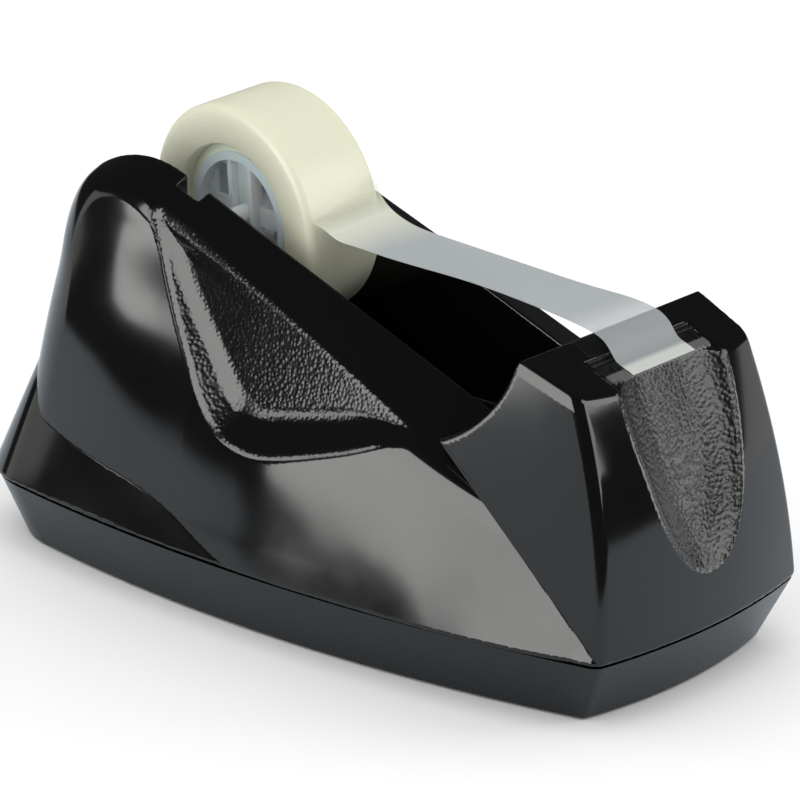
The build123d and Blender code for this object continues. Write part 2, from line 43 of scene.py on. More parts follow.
# flanks: x, half width at the parting line, inward slope going up
FLANK_STATIONS = [
    (-95.0, 22.0, 0.17), (-64.8, 31.1, 0.17), (-44.8, 35.2, 0.175), (-24.8, 38.0, 0.19),
    (-4.0, 40.3, 0.20), (19.0, 40.1, 0.20), (38.0, 38.9, 0.20), (59.5, 36.1, 0.28),
    (69.0, 33.9, 0.33), (78.0, 31.0, 0.35),
]
FLANK_STEEPNESS = 1.02                 # length of the flank field's gradient
FLANK_BULGE, FLANK_BULGE_RISE, FLANK_BULGE_HALF = 0.9, 32.0, 26.0
FLANK_BULGE_END_X, FLANK_BULGE_FADE = 30.0, 50.0

# side profile: leaning rear wall, round shoulder, rims that fall to the cutter
REAR_SLOPE, RIM_SLOPE = 0.18, 0.388
SHOULDER_C, SHOULDER_R = (-45.5, 57.8), 24.0
CREST_FALL = 0.364                     # the rims' tops fall outwards by 20 degrees
RIM_ROUND, RIM_COSINE = 8.0, 0.515     # edge between flank and rim
REAR_FADE, REAR_BOW_SPAN = 10.0, 100.0
REAR_CORNER_R, REAR_COSINE = 15.0, 0.315
NOSE_SETBACK = 1.0                     # the rims end this far behind the front corners

# plan at the parting line, and the skirt that flares down to it
FRONT_CORNER = (78.65, 31.5)
REAR_CORNER = (-HALF_LENGTH + 3.6, 32.0)
PLAN_MID = (3.0, 40.3)
PLAN_REAR_R, PLAN_REAR_COSINE = 19.0, 0.42
SKIRT_SLOPE, SKIRT_RISE = 0.404, 26.0
SKIRT_BLEND, SKIRT_COSINE = 1.2, 0.97

# cutter head; below its hollow rear it runs back to a line from the saddle to a toe
HEAD_REAR, HEAD_FRONT, SADDLE = (55.2, 66.9), (68.35, 61.8), (40.9, 49.0)
HEAD_ARC_MID = (51.3, 57.2)
TOE_AHEAD, TOE_DROP = 1.0, 0.95        # the toe, from the front corner at the parting line
HEAD_EDGE, HEAD_BEVEL, HEAD_BLEND, HEAD_BLEND_COSINE = 1.0, 0.5, 1.5, 0.9
BEVEL_EDGE, BEVEL_COSINE = 0.25, 0.8
REAR_EDGE_COSINE = -0.3
FACET_Y0, FACET_DX, FACET_DZ = 47.33, 0.1771, 0.1428
CORNER_ROUND, CORNER_COSINE = 2.8, 0.40
FRONT_LEAN = (FRONT_CORNER[0] - HEAD_FRONT[0]) / (HEAD_FRONT[1] - PARTING_Z)
FRONT_BOW, FRONT_BOW_LOSS = 3.55, 0.023
FRONT_BULGE, BULGE_Z, BULGE_HALF, BULGE_LEAST = 2.3, 37.5, 24.3, -2.0

# trough for the roll, pit for the blade holder, open slots for the axle
SPOOL_C, SPOOL_YAW, SPOOL_TILT = (-31.1, 2.1, 70.5), 7.4, 4.7
CHANNEL_HALF, CHANNEL_R = 15.5, 33.5
CHANNEL_RAMP_X, CHANNEL_END_X = 42.0, 50.0
CHANNEL_EDGE, RAMP_EDGE, WELL_EDGE = 0.8, 1.0, 0.4
CHANNEL_LIP, WELL_LIP, SLOT_LIP = 0.6, 0.4, 0.35
WELL_REAR_X, WELL_FRONT_X, WELL_HALF, WELL_FLOOR_Z = 61.3, 65.0, 15.64, 56.0
BLADE_TIP, BLADE_BED = (68.4, 61.85), 0.56
AXLE_R, AXLE_HALF, AXLE_PLAY = 2.1, 18.0, 0.1
SLOT_HALF, SLOT_START, SLOT_END = 2.75, 14.0, 18.8
SLOT_SEAT_Y = 15.0                     # the seat is centred between here and the axle's end
FAR_AWAY = 50.0

# leaf-shaped grips: outline in (x, z), from the rear tip to the nose
LEAF_APEX, LEAF_NOSE = (-34.8, 73.4), (33.2, 47.8)
LEAF_TOP = [
    LEAF_APEX, (-21.7, 70.7), (-11.0, 67.7), (0.0, 64.0), (10.6, 59.7), (20.0, 55.6),
    (28.5, 51.4), LEAF_NOSE,
]
LEAF_UNDER = [
    LEAF_APEX, (-31.6, 65.9), (-26.3, 56.9), (-20.7, 48.6), (-16.8, 43.0), (-13.0, 39.2),
    (-8.5, 36.9), (-2.0, 36.1), (5.0, 37.3), (16.8, 40.7), (25.5, 43.9), (31.8, 46.4), LEAF_NOSE,
]
LEAF_PLANE_Y, LEAF_PLANE_Z, LEAF_TILT = 34.2, 50.0, 11.3
LEAF_DEPTH, LEAF_WALL_RUN, LEAF_FILLET = 5.4, 1.25, 2.5
LIP_UNDER, LIP_TOP, LIP_FADE = 1.0, 2.8, 6.0

# finger scoop: z, half width
SCOOP_HALF = [
    (24.5, 0.0), (24.9, 3.2), (27.5, 7.0), (31.3, 9.8), (35.0, 11.5), (40.0, 13.1),
    (45.5, 14.4), (51.0, 15.5), (56.0, 16.1), (62.0, 16.3), (75.0, 16.3),
]
SCOOP_DEPTH, SCOOP_DEEPENS, SCOOP_MID_Z = 3.4, 0.05, 45.0
SCOOP_WALL_RUN, SCOOP_FILLET, SCOOP_LIP = 1.5, 5.0, 0.8
POCKET_BRIM, POCKET_FILLET_COSINE, POCKET_LIP_COSINE = -1.5, 0.45, 0.3


# ------------------------------------------------------------- distance field help
def unit(*v):
    """A vector's direction."""
    size = math.sqrt(sum(c * c for c in v))
    return tuple(c / size for c in v)


def round_max(a, b, r, c=0.0):
    """Intersection of two regions whose surface normals have cosine c, edge rounded to r."""
    p, q = a + r, b + r
    inside = (p > c * q) & (q > c * p)
    arc = np.sqrt(np.maximum(p * p + q * q - 2 * c * p * q, 0) / (1 - c * c)) - r
    return np.where(inside, arc, np.maximum(a, b))


def round_min(a, b, r, c=0.0):
    """Union of two regions, with a fillet of radius r between them."""
    return -round_max(-a, -b, r, c)


def smoothstep(value, low, high):
    """0 below low, 1 above high, smooth between."""
    t = np.clip((value - low) / (high - low), 0, 1)
    return t * t * (3 - 2 * t)


def spline(stations):
    """Natural cubic spline through (x, value) stations."""
    xs, ys = (np.array(v, float) for v in zip(*stations))
    n, h = len(xs), np.diff(xs)
    system, right = np.eye(n), np.zeros(n)
    for i in range(1, n - 1):
        system[i, i - 1:i + 2] = h[i - 1], 2 * (h[i - 1] + h[i]), h[i]
        right[i] = 6 * ((ys[i + 1] - ys[i]) / h[i] - (ys[i] - ys[i - 1]) / h[i - 1])
    bend = np.linalg.solve(system, right)

    def value(x):
        i = np.clip(np.searchsorted(xs, x) - 1, 0, n - 2)
        t, u = x - xs[i], xs[i + 1] - x
        s = h[i]
        return ((bend[i] * u ** 3 + bend[i + 1] * t ** 3) / (6 * s)
                + (ys[i] / s - bend[i] * s / 6) * u + (ys[i + 1] / s - bend[i + 1] * s / 6) * t)
    return value


def circle_through(a, b, c):
    """Centre and radius of the circle through three points of a plane."""
    (ax, ay), (bx, by), (cx, cy) = a, b, c
    d = 2 * (ax * (by - cy) + bx * (cy - ay) + cx * (ay - by))
    aa, bb, cc = ax**2 + ay**2, bx**2 + by**2, cx**2 + cy**2
    ux = (aa * (by - cy) + bb * (cy - ay) + cc * (ay - by)) / d
    uy = (aa * (cx - bx) + bb * (ax - cx) + cc * (bx - ax)) / d
    return (ux, uy), math.hypot(ax - ux, ay - uy)


def in_circle(u, v, circle):
    """Signed distance to a circle of a plane."""
    (cu, cv), radius = circle
    return np.hypot(u - cu, v - cv) - radius


def polyline_distance(u, v, points):
    """Distance to a chain of points."""
    best = np.full(np.shape(u), 1e9)
    for (ax, ay), (bx, by) in zip(points, points[1:]):
        ex, ey = bx - ax, by - ay
        t = np.clip(((u - ax) * ex + (v - ay) * ey) / (ex * ex + ey * ey), 0, 1)
        best = np.minimum(best, (u - ax - t * ex) ** 2 + (v - ay - t * ey) ** 2)
    return np.sqrt(best)


def outline_distance(u, v, low, high):
    """Signed distance to the region between two chains of points over u."""
    lu, lv = zip(*low)
    hu, hv = zip(*high)
    edge = np.minimum(polyline_distance(u, v, low), polyline_distance(u, v, high))
    inside = (v > np.interp(u, lu, lv)) & (v < np.interp(u, hu, hv)) & (u > lu[0]) & (u < lu[-1])
    return np.where(inside, -edge, edge)


def softened(chain, count=6):
    """Catmull-Rom points through a chain."""
    p = [chain[0], *chain, chain[-1]]
    out = []
    for a, b, c, d in zip(p, p[1:], p[2:], p[3:]):
        for k in range(count):
            t = k / count
            out.append(tuple(
                0.5 * (2 * b[i] + (c[i] - a[i]) * t + (2 * a[i] - 5 * b[i] + 4 * c[i] - d[i]) * t**2
                       + (3 * b[i] - a[i] - 3 * c[i] + d[i]) * t**3)
                for i in (0, 1)))
    return out + [chain[-1]]


def sunk(edge, depth, floor, run, fillet):
    """A pocket whose walls run inwards from its mouth outline as they go down."""
    wall = (edge + run * np.maximum(depth, POCKET_BRIM)) / math.hypot(1, run)
    return round_max(floor, wall, fillet, POCKET_FILLET_COSINE)


def spool_axis():
    """Direction of the leaning spool's axle, towards the far side."""
    tilt, yaw = math.radians(SPOOL_TILT), math.radians(SPOOL_YAW)
    return (math.sin(yaw) * math.cos(tilt), math.cos(yaw) * math.cos(tilt), math.sin(tilt))


WIDTH = spline([(x, half) for x, half, _ in FLANK_STATIONS])
SLOPE = spline([(x, slope) for x, _, slope in FLANK_STATIONS])
FLANK_ARC = circle_through(REAR_CORNER, PLAN_MID, FRONT_CORNER)
REAR_ARC = circle_through(REAR_CORNER, (-HALF_LENGTH, 0.0), (REAR_CORNER[0], -REAR_CORNER[1]))
FRONT_ARC = circle_through(FRONT_CORNER, (HALF_LENGTH, 0.0), (FRONT_CORNER[0], -FRONT_CORNER[1]))
HEAD_ARC = circle_through(SADDLE, HEAD_ARC_MID, HEAD_REAR)


# --------------------------------------------------------------- distance field
def main_shell(x, y, z):
    """Flanks, rear wall, shoulder and rims; y is positive."""
    rise = z - PARTING_Z
    up = np.clip((rise - FLANK_BULGE_RISE) / FLANK_BULGE_HALF, -1, 1)
    along = np.clip((FLANK_BULGE_END_X - x) / FLANK_BULGE_FADE, 0, 1)
    bulge = FLANK_BULGE * (1 - up**2) ** 2 * along
    side = (y - WIDTH(x) + SLOPE(x) * rise - bulge) / FLANK_STEEPNESS
    rear_n, rim_n = unit(-1.0, REAR_SLOPE), unit(RIM_SLOPE, 1.0)
    px, pz = x - SHOULDER_C[0], z - SHOULDER_C[1]
    rear = px * rear_n[0] + pz * rear_n[1] - SHOULDER_R
    rim = px * rim_n[0] + pz * rim_n[1] - SHOULDER_R
    cosine = rear_n[0] * rim_n[0] + rear_n[1] * rim_n[1]
    profile = round_max(rear, rim, SHOULDER_R, cosine)
    behind = smoothstep(-px - pz, -REAR_FADE, SHOULDER_R)
    outward = (1 - behind) * np.maximum(y - CHANNEL_HALF, 0) + behind * y**2 / REAR_BOW_SPAN
    crest = (profile + CREST_FALL * outward) / math.hypot(1, CREST_FALL)
    nose = (x - (FRONT_CORNER[0] - NOSE_SETBACK) + FRONT_LEAN * rise) / math.hypot(1, FRONT_LEAN)
    corner_r = RIM_ROUND + behind * (REAR_CORNER_R - RIM_ROUND)
    corner_cosine = RIM_COSINE + behind * (REAR_COSINE - RIM_COSINE)
    return np.maximum(round_max(side, crest, corner_r, corner_cosine), nose)


def skirt(x, y, z):
    """The flare round the bottom, from the plan outline at the parting line."""
    rise = z - PARTING_Z
    flank = in_circle(x, y, FLANK_ARC)
    rear = in_circle(x, y, REAR_ARC)
    front = in_circle(x, y, FRONT_ARC)
    ends = round_max(flank, rear, PLAN_REAR_R, PLAN_REAR_COSINE)
    plan = round_max(ends, front, CORNER_ROUND, CORNER_COSINE)
    return np.maximum((plan + SKIRT_SLOPE * rise) / math.hypot(1, SKIRT_SLOPE), rise - SKIRT_RISE)


def facet_half(x, z):
    """Half width of the head's flat flank."""
    return FACET_Y0 - FACET_DX * x - FACET_DZ * z


def front_face(x, y, z):
    """In front of the face that leans, is bowed across and bulges up its height."""
    rise = z - PARTING_Z
    flat = FRONT_CORNER[0] - FRONT_LEAN * rise
    bow = (FRONT_BOW - FRONT_BOW_LOSS * rise) * (1 - (y / facet_half(flat, z)) ** 2)
    bulge = FRONT_BULGE * (1 - ((z - BULGE_Z) / BULGE_HALF) ** 2)
    return (x - (flat + bow + np.maximum(bulge, BULGE_LEAST))) / math.hypot(1, FRONT_LEAN)


def head(x, y, z):
    """The cutter head: flat flanks, bevelled top, hollow rear; y is positive."""
    facet = (y - facet_half(x, z)) / math.hypot(1, FACET_DX, FACET_DZ)
    block = round_max(facet, front_face(x, y, z), CORNER_ROUND, CORNER_COSINE)
    hx, hz = HEAD_REAR
    slope = (hz - HEAD_FRONT[1]) / (HEAD_FRONT[0] - hx)
    top_n = unit(slope, 1.0)
    top = (x - hx) * top_n[0] + (z - hz) * top_n[1]
    flank_n = unit(FACET_DX, 1.0, FACET_DZ)
    bevel_n = unit(flank_n[0] + top_n[0], flank_n[1], flank_n[2] + top_n[1])
    bevel = ((x - hx) * bevel_n[0] + (y - facet_half(hx, hz)) * bevel_n[1]
             + (z - hz) * bevel_n[2] + HEAD_BEVEL)
    cap = round_max(top, -in_circle(x, z, HEAD_ARC), HEAD_EDGE, REAR_EDGE_COSINE)
    cap = round_max(cap, bevel, BEVEL_EDGE, BEVEL_COSINE)
    toe = (FRONT_CORNER[0] + TOE_AHEAD, PARTING_Z - TOE_DROP)
    dx, dz = unit(toe[0] - SADDLE[0], toe[1] - SADDLE[1])
    below = (x - SADDLE[0]) * dz - (z - SADDLE[1]) * dx
    below = np.maximum(below, SADDLE[0] - x)
    return round_max(block, np.maximum(cap, below), HEAD_EDGE)


def outer(x, y, z):
    """The housing's outside before anything is cut into it."""
    a = np.abs(y)
    shell = round_min(main_shell(x, a, z), skirt(x, a, z), SKIRT_BLEND, SKIRT_COSINE)
    return round_min(shell, head(x, a, z), HEAD_BLEND, HEAD_BLEND_COSINE)


def channel(x, y, z):
    """The trough that the roll sits in."""
    cx, _, cz = SPOOL_C
    floor_z = cz - CHANNEL_R
    profile = round_max(cx - CHANNEL_R - x, floor_z - z, CHANNEL_R)
    ramp = ((x - CHANNEL_RAMP_X) - (z - floor_z)) / math.sqrt(2)
    profile = round_max(profile, np.maximum(x - CHANNEL_END_X, ramp), RAMP_EDGE)
    return round_max(profile, y - CHANNEL_HALF, CHANNEL_EDGE)


def well(x, y, z):
    """Pit for the blade holder; in front of it the wall comes up to the cutter."""
    lean = math.hypot(1, RIM_SLOPE)
    bed = (BLADE_TIP[1] + RIM_SLOPE * (BLADE_TIP[0] - x) - z) / lean - BLADE_BED
    deep = np.maximum(WELL_FLOOR_Z - z, x - WELL_FRONT_X)
    return round_max(np.maximum(WELL_REAR_X - x, np.minimum(deep, bed)), y - WELL_HALF, WELL_EDGE)


def leaf(x, y, z, body):
    """A flank's leaf; its floor is a plane that leans inwards going up."""
    edge = outline_distance(x, z, softened(LEAF_UNDER), softened(LEAF_TOP))
    tilt = math.radians(LEAF_TILT)
    above = (y - LEAF_PLANE_Y) * math.cos(tilt) + (z - LEAF_PLANE_Z) * math.sin(tilt)
    return sunk(edge, -body, -(above + LEAF_DEPTH), LEAF_WALL_RUN, LEAF_FILLET)


def leaf_lip(x, z):
    """Radius of the leaf's lip: wider along its top edge."""
    top_x, top_z = zip(*LEAF_TOP)
    near_top = np.clip(1 + (z - np.interp(x, top_x, top_z)) / LIP_FADE, 0, 1)
    return LIP_UNDER + (LIP_TOP - LIP_UNDER) * near_top


def scoop(x, y, z):
    """The finger scoop; its floor follows the front face, a little deeper higher up."""
    zs, halves = zip(*softened(SCOOP_HALF, 4))
    edge = polyline_distance(y, z, list(zip(halves, zs)))
    inside = (y < np.interp(z, zs, halves)) & (z > zs[0])
    edge = np.where(inside, -edge, edge)
    depth = -front_face(x, y, z)
    floor = depth - SCOOP_DEPTH - SCOOP_DEEPENS * (z - SCOOP_MID_Z)
    return sunk(edge, depth, floor, SCOOP_WALL_RUN, SCOOP_FILLET)


def axle_slots(x, y, z):
    """Open-topped slots, each centred on its own end of the leaning axle."""
    axis = spool_axis()

    def on_axis(at_y):
        t = (at_y - SPOOL_C[1]) / axis[1]
        return SPOOL_C[0] + axis[0] * t, SPOOL_C[2] + axis[2] * t

    best = np.full(np.shape(x), FAR_AWAY)
    for side in (-1, 1):
        mid_x = on_axis(side * (SLOT_SEAT_Y + AXLE_HALF) / 2)[0]
        low = min(on_axis(side * CHANNEL_HALF)[1], on_axis(side * AXLE_HALF)[1])
        seat = low - AXLE_R - AXLE_PLAY + SLOT_HALF
        across = np.hypot(x - mid_x, np.minimum(z - seat, 0)) - SLOT_HALF
        slot = np.maximum(across, np.maximum(side * y - SLOT_END, SLOT_START - side * y))
        best = np.minimum(best, slot)
    return best


def housing(x, y, z):
    """The moulding, with the leaf's and the scoop's own fields for their leather grain."""
    a = np.abs(y)
    body = outer(x, y, z)
    leaf_d = leaf(x, a, z, body)
    scoop_d = scoop(x, a, z)
    lip = leaf_lip(x, z)
    body = round_max(body, -leaf_d, lip, POCKET_LIP_COSINE)
    body = round_max(body, -scoop_d, SCOOP_LIP, POCKET_LIP_COSINE)
    body = round_max(body, -channel(x, a, z), CHANNEL_LIP)
    body = round_max(body, -well(x, a, z), WELL_LIP)
    body = round_max(body, -axle_slots(x, y, z), SLOT_LIP)
    wall = np.abs(body + WALL / 2) - WALL / 2
    shell = round_max(wall, PARTING_Z - z, BOTTOM_ROUND)
    return shell, leaf_d - (lip - LIP_UNDER), scoop_d


def surface_nets(fn, low, high, step):
    """Quads on the zero surface of fn: one vertex for each grid cell that the surface crosses."""
    axes = [np.arange(a, b + step, step, dtype=np.float64) for a, b in zip(low, high)]
    slabs = []
    for chunk in np.array_split(axes[0], max(1, len(axes[0]) // 16)):
        grid = np.meshgrid(chunk, axes[1], axes[2], indexing="ij")
        slabs.append(fn(*grid).astype(np.float32))
    value = np.concatenate(slabs)
    sign = value < 0
    corner = [(i, j, k) for i in (0, 1) for j in (0, 1) for k in (0, 1)]
    nx, ny, nz = (n - 1 for n in sign.shape)
    count = sum(sign[i:i + nx, j:j + ny, k:k + nz].astype(np.int8) for i, j, k in corner)
    cells = (count > 0) & (count < 8)
    index = np.full(cells.shape, -1, np.int64)
    where = np.argwhere(cells)
    index[cells] = np.arange(len(where))
    total = np.zeros((len(where), 3))
    hits = np.zeros(len(where))
    for a in corner:
        for axis in range(3):
            if a[axis]:
                continue
            b = list(a)
            b[axis] = 1
            va = value[tuple((where + a).T)]
            vb = value[tuple((where + b).T)]
            cross = (va < 0) != (vb < 0)
            t = np.where(cross, va / np.where(cross, va - vb, 1), 0)
            p = np.repeat([a], len(where), 0).astype(float)
            p[:, axis] += t
            total[cross] += p[cross]
            hits[cross] += 1
    points = np.array(low) + step * (where + total / hits[:, None])
    quads = []
    for axis in range(3):
        u, v = (axis + 1) % 3, (axis + 2) % 3
        lo = [slice(1, -1)] * 3
        lo[axis] = slice(0, -1)
        hi = list(lo)
        hi[axis] = slice(1, None)
        a, b = sign[tuple(lo)], sign[tuple(hi)]
        for mask, flip in ((a & ~b, False), (~a & b, True)):
            at = np.argwhere(mask)
            for d in range(3):
                if d != axis:
                    at[:, d] += 1
            du, dv = np.zeros(3, int), np.zeros(3, int)
            du[u], dv[v] = 1, 1
            ring = [at - du - dv, at - dv, at, at - du]
            if flip:
                ring.reverse()
            quads.append(np.stack([index[tuple(r.T)] for r in ring], 1))
    return points, np.concatenate(quads)


# ------------------------------------------------------------------ shader help
NOISE_SPAN = (0.3, 0.7)                # where nearly all of a noise texture's values lie


def new_material(name):
    """A node material with only its Principled shader; returns the material and shader."""
    material = bpy.data.materials.new(name)
    material.use_nodes = True
    return material, material.node_tree.nodes["Principled BSDF"]


def set_inputs(node, **values):
    for key, value in values.items():
        node.inputs[key.replace("_", " ")].default_value = value


def add(material, kind, inputs=None, **settings):
    """Adds a shader node with its settings and constant inputs."""
    node = material.node_tree.nodes.new(kind)
    for key, value in settings.items():
        setattr(node, key, value)
    for key, value in (inputs or {}).items():
        node.inputs[key].default_value = value
    return node


def link(material, source, target):
    material.node_tree.links.new(source, target)


def feed(material, value, socket):
    """Sets a socket to a constant, or links a node's output to it."""
    if isinstance(value, (int, float, tuple)):
        socket.default_value = value
    else:
        link(material, value, socket)


def surface_socket(material):
    """The Surface input of a material's output node."""
    output = next(n for n in material.node_tree.nodes if n.type == "OUTPUT_MATERIAL")
    return output.inputs["Surface"]


def object_coords(material):
    return add(material, "ShaderNodeTexCoord").outputs["Object"]


def split_axes(material, coords):
    axes = add(material, "ShaderNodeSeparateXYZ")
    link(material, coords, axes.inputs[0])
    return axes.outputs


def length_fraction(material):
    """0 to 1 from the piece's lowest x to its highest."""
    generated = add(material, "ShaderNodeTexCoord").outputs["Generated"]
    return split_axes(material, generated)["X"]


def stretched(material, coords, scale):
    mapping = add(material, "ShaderNodeMapping", {"Scale": scale})
    link(material, coords, mapping.inputs["Vector"])
    return mapping.outputs["Vector"]


def noise(material, coords, scale, detail=3.0, roughness=0.5):
    inputs = {"Scale": scale, "Detail": detail, "Roughness": roughness}
    node = add(material, "ShaderNodeTexNoise", inputs)
    link(material, coords, node.inputs["Vector"])
    return node.outputs["Fac"]


def ramp(material, value, low, high, start=0.0, end=1.0):
    """Maps start..end of a 0-1 value to low..high."""
    node = add(
        material,
        "ShaderNodeMapRange",
        {"From Min": start, "From Max": end, "To Min": low, "To Max": high},
    )
    link(material, value, node.inputs["Value"])
    return node.outputs["Result"]


def math_node(material, operation, *values):
    node = add(material, "ShaderNodeMath", operation=operation)
    for socket, value in zip(node.inputs, values):
        feed(material, value, socket)
    return node.outputs[0]


def blend_value(material, fac, a, b):
    """a where fac is 0, b where fac is 1."""
    node = add(material, "ShaderNodeMix")
    for socket, value in zip((node.inputs[0], node.inputs[2], node.inputs[3]), (fac, a, b)):
        feed(material, value, socket)
    return node.outputs[0]


def blend_color(material, fac, a, b):
    """Colour a where fac is 0, b where fac is 1; works on a world too."""
    node = add(material, "ShaderNodeMix", data_type="RGBA")
    for socket, value in zip((node.inputs[0], node.inputs[6], node.inputs[7]), (fac, a, b)):
        feed(material, value, socket)
    return node.outputs[2]


def bump(material, height, depth_mm, below=None):
    node = add(material, "ShaderNodeBump", {"Strength": 1.0, "Distance": depth_mm * MM})
    link(material, height, node.inputs["Height"])
    if below is not None:
        link(material, below, node.inputs["Normal"])
    return node.outputs["Normal"]


# -------------------------------------------------------------------- materials
GLOSS_ROUGHNESS, LEATHER_ROUGHNESS = (0.07, 0.115), 0.24
PEBBLE_SCALE, PEBBLE_STRETCH = 1200.0, (1.0, 0.8, 1.0)
PEBBLE_MM, WAVE_MM = 0.085, 0.035
RINGS_PER_M = 2600.0
CREAM_LIGHT, CREAM_DARK = (0.72, 0.725, 0.59, 1), (0.67, 0.67, 0.50, 1)
# the second film colour is a painted highlight: the film's end on the blade is coloured bright as if
# it caught the light
FILM_FREE, FILM_PAINTED_HIGHLIGHT = (0.42, 0.45, 0.46, 1), (0.58, 0.60, 0.56, 1)
SCATTER_RED_GREEN_BLUE = (1.0, 1.0, 0.55)


def housing_material():
    """Polished black plastic; where the grain attribute is 1, a moulded leather grain."""
    material, shader = new_material("housing_gloss")
    coords = object_coords(material)
    set_inputs(shader, Base_Color=(0.004, 0.004, 0.004, 1), IOR=1.5)
    grain = add(material, "ShaderNodeAttribute", attribute_name="grain").outputs["Fac"]
    haze = noise(material, coords, 60.0, 6.0, 0.6)
    polished = ramp(material, haze, *GLOSS_ROUGHNESS, *NOISE_SPAN)
    roughness = blend_value(material, grain, polished, LEATHER_ROUGHNESS)
    link(material, roughness, shader.inputs["Roughness"])
    cells = add(
        material,
        "ShaderNodeTexVoronoi",
        {"Scale": PEBBLE_SCALE, "Randomness": 0.9},
        feature="SMOOTH_F1",
    )
    set_inputs(cells, Smoothness=0.35)
    link(material, stretched(material, coords, PEBBLE_STRETCH), cells.inputs["Vector"])
    pebble = ramp(material, cells.outputs["Distance"], 1.0, 0.0, 0.05, 0.75)
    height = math_node(material, "MULTIPLY", pebble, grain)
    under = bump(material, noise(material, coords, 50.0, 1.0), WAVE_MM)
    link(material, bump(material, height, PEBBLE_MM, below=under), shader.inputs["Normal"])
    return material


def satin_plastic():
    """Black plastic from a finely sanded mould."""
    material, shader = new_material("tray_satin")
    set_inputs(shader, Base_Color=(0.004, 0.004, 0.004, 1))
    grain = noise(material, object_coords(material), 1500.0)
    link(material, ramp(material, grain, 0.2, 0.32), shader.inputs["Roughness"])
    link(material, bump(material, grain, 0.006), shader.inputs["Normal"])
    return material


def simple(name, color, roughness, metallic=0.0, bump_mm=0.02, **more):
    """One colour with a fine grain that varies its roughness by a fifth."""
    material, shader = new_material(name)
    set_inputs(shader, Base_Color=(*color, 1), Metallic=metallic, **more)
    grain = noise(material, object_coords(material), 900.0, 4.0)
    varied = ramp(material, grain, roughness * 0.8, roughness * 1.2, *NOISE_SPAN)
    link(material, varied, shader.inputs["Roughness"])
    link(material, bump(material, grain, bump_mm), shader.inputs["Normal"])
    return material


def blade_steel():
    """Dark rolled sheet, paler and less metallic towards the teeth."""
    material, shader = new_material("blade_steel")
    ground = ramp(material, length_fraction(material), 0.0, 1.0, 0.50, 0.56)
    tint = blend_color(material, ground, (0.14, 0.14, 0.15, 1), (0.30, 0.30, 0.29, 1))
    link(material, tint, shader.inputs["Base Color"])
    link(material, blend_value(material, ground, 1.0, 0.7), shader.inputs["Metallic"])
    along = stretched(material, object_coords(material), (0.15, 1.0, 1.0))
    scratch = noise(material, along, 900.0, 4.0)
    link(material, ramp(material, scratch, 0.22, 0.42, *NOISE_SPAN), shader.inputs["Roughness"])
    link(material, bump(material, scratch, 0.012), shader.inputs["Normal"])
    return material


def tape_wound():
    """Cream film wound in thin layers: fine rings on the sides, light scattered inside."""
    material, shader = new_material("tape_wound")
    coords = object_coords(material)
    set_inputs(shader, IOR=1.48, Subsurface_Weight=0.35, Subsurface_Scale=0.004)
    set_inputs(shader, Subsurface_Radius=SCATTER_RED_GREEN_BLUE)
    axes = split_axes(material, coords)
    squares = [math_node(material, "MULTIPLY", axes[k], axes[k]) for k in "XY"]
    radius = math_node(material, "SQRT", math_node(material, "ADD", *squares))
    rings = add(
        material,
        "ShaderNodeTexNoise",
        {"Scale": 1.0, "Detail": 3.0},
        noise_dimensions="1D",
    )
    link(material, math_node(material, "MULTIPLY", radius, RINGS_PER_M), rings.inputs["W"])
    layers = rings.outputs["Fac"]
    link(material, blend_color(material, layers, CREAM_LIGHT, CREAM_DARK), shader.inputs["Base Color"])
    speck = noise(material, coords, 350.0, 4.0)
    link(material, ramp(material, speck, 0.32, 0.5, *NOISE_SPAN), shader.inputs["Roughness"])
    link(material, bump(material, layers, 0.05), shader.inputs["Normal"])
    return material


def tape_film():
    """Thin matt film from the roll to the cutter.

    It is cream and solid on the roll, greyer where it hangs free, nearly clear over the
    head, and solid again at the end that is pressed on the blade. That end carries a
    painted highlight: it is coloured bright as if it caught the light.
    """
    material, shader = new_material("tape_film")
    along = length_fraction(material)
    peeled = ramp(material, along, 0.0, 0.9, 0.04, 0.10)
    over_head = ramp(material, along, 0.0, 0.40, 0.76, 0.86)
    pressed_solid = ramp(material, along, 0.0, 0.34, 0.962, 0.976)
    clear = math_node(material, "SUBTRACT", peeled, over_head)
    link(material, math_node(material, "ADD", clear, pressed_solid), shader.inputs["Alpha"])
    free = ramp(material, along, 0.0, 1.0, 0.06, 0.24)
    # painted highlight: the last few millimetres, lying on the blade, are coloured brighter as if lit
    pressed_end_highlight = ramp(material, along, 0.0, 1.0, 0.962, 0.976)
    tint = blend_color(material, free, CREAM_LIGHT, FILM_FREE)
    link(material, blend_color(material, pressed_end_highlight, tint, FILM_PAINTED_HIGHLIGHT), shader.inputs["Base Color"])
    set_inputs(shader, IOR=1.4)
    grain = noise(material, object_coords(material), 900.0)
    link(material, ramp(material, grain, 0.36, 0.5, *NOISE_SPAN), shader.inputs["Roughness"])
    link(material, bump(material, grain, 0.004), shader.inputs["Normal"])
    return material


def assign(names, material):
    """Gives CAD nodes one material."""
    for name in names:
        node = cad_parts[name]
        node.data.materials.clear()
        node.data.materials.append(material)


# ------------------------------------------------------------------ wound tape
ROLL_R, ROLL_HALF, ROLL_BORE = 23.2, 9.5, 15.1
ROLL_EDGE, BORE_CHAMFER = 1.7, 0.5


def spool_matrix():
    """Places a lathe's own Z on the spool's leaning axis."""
    yaw = math.radians(SPOOL_YAW)
    axis = Vector(spool_axis())
    across = Vector((math.cos(yaw), -math.sin(yaw), 0.0))
    place = Matrix((across, axis.cross(across), axis)).transposed().to_4x4()
    place.translation = Vector(SPOOL_C) * MM
    return place


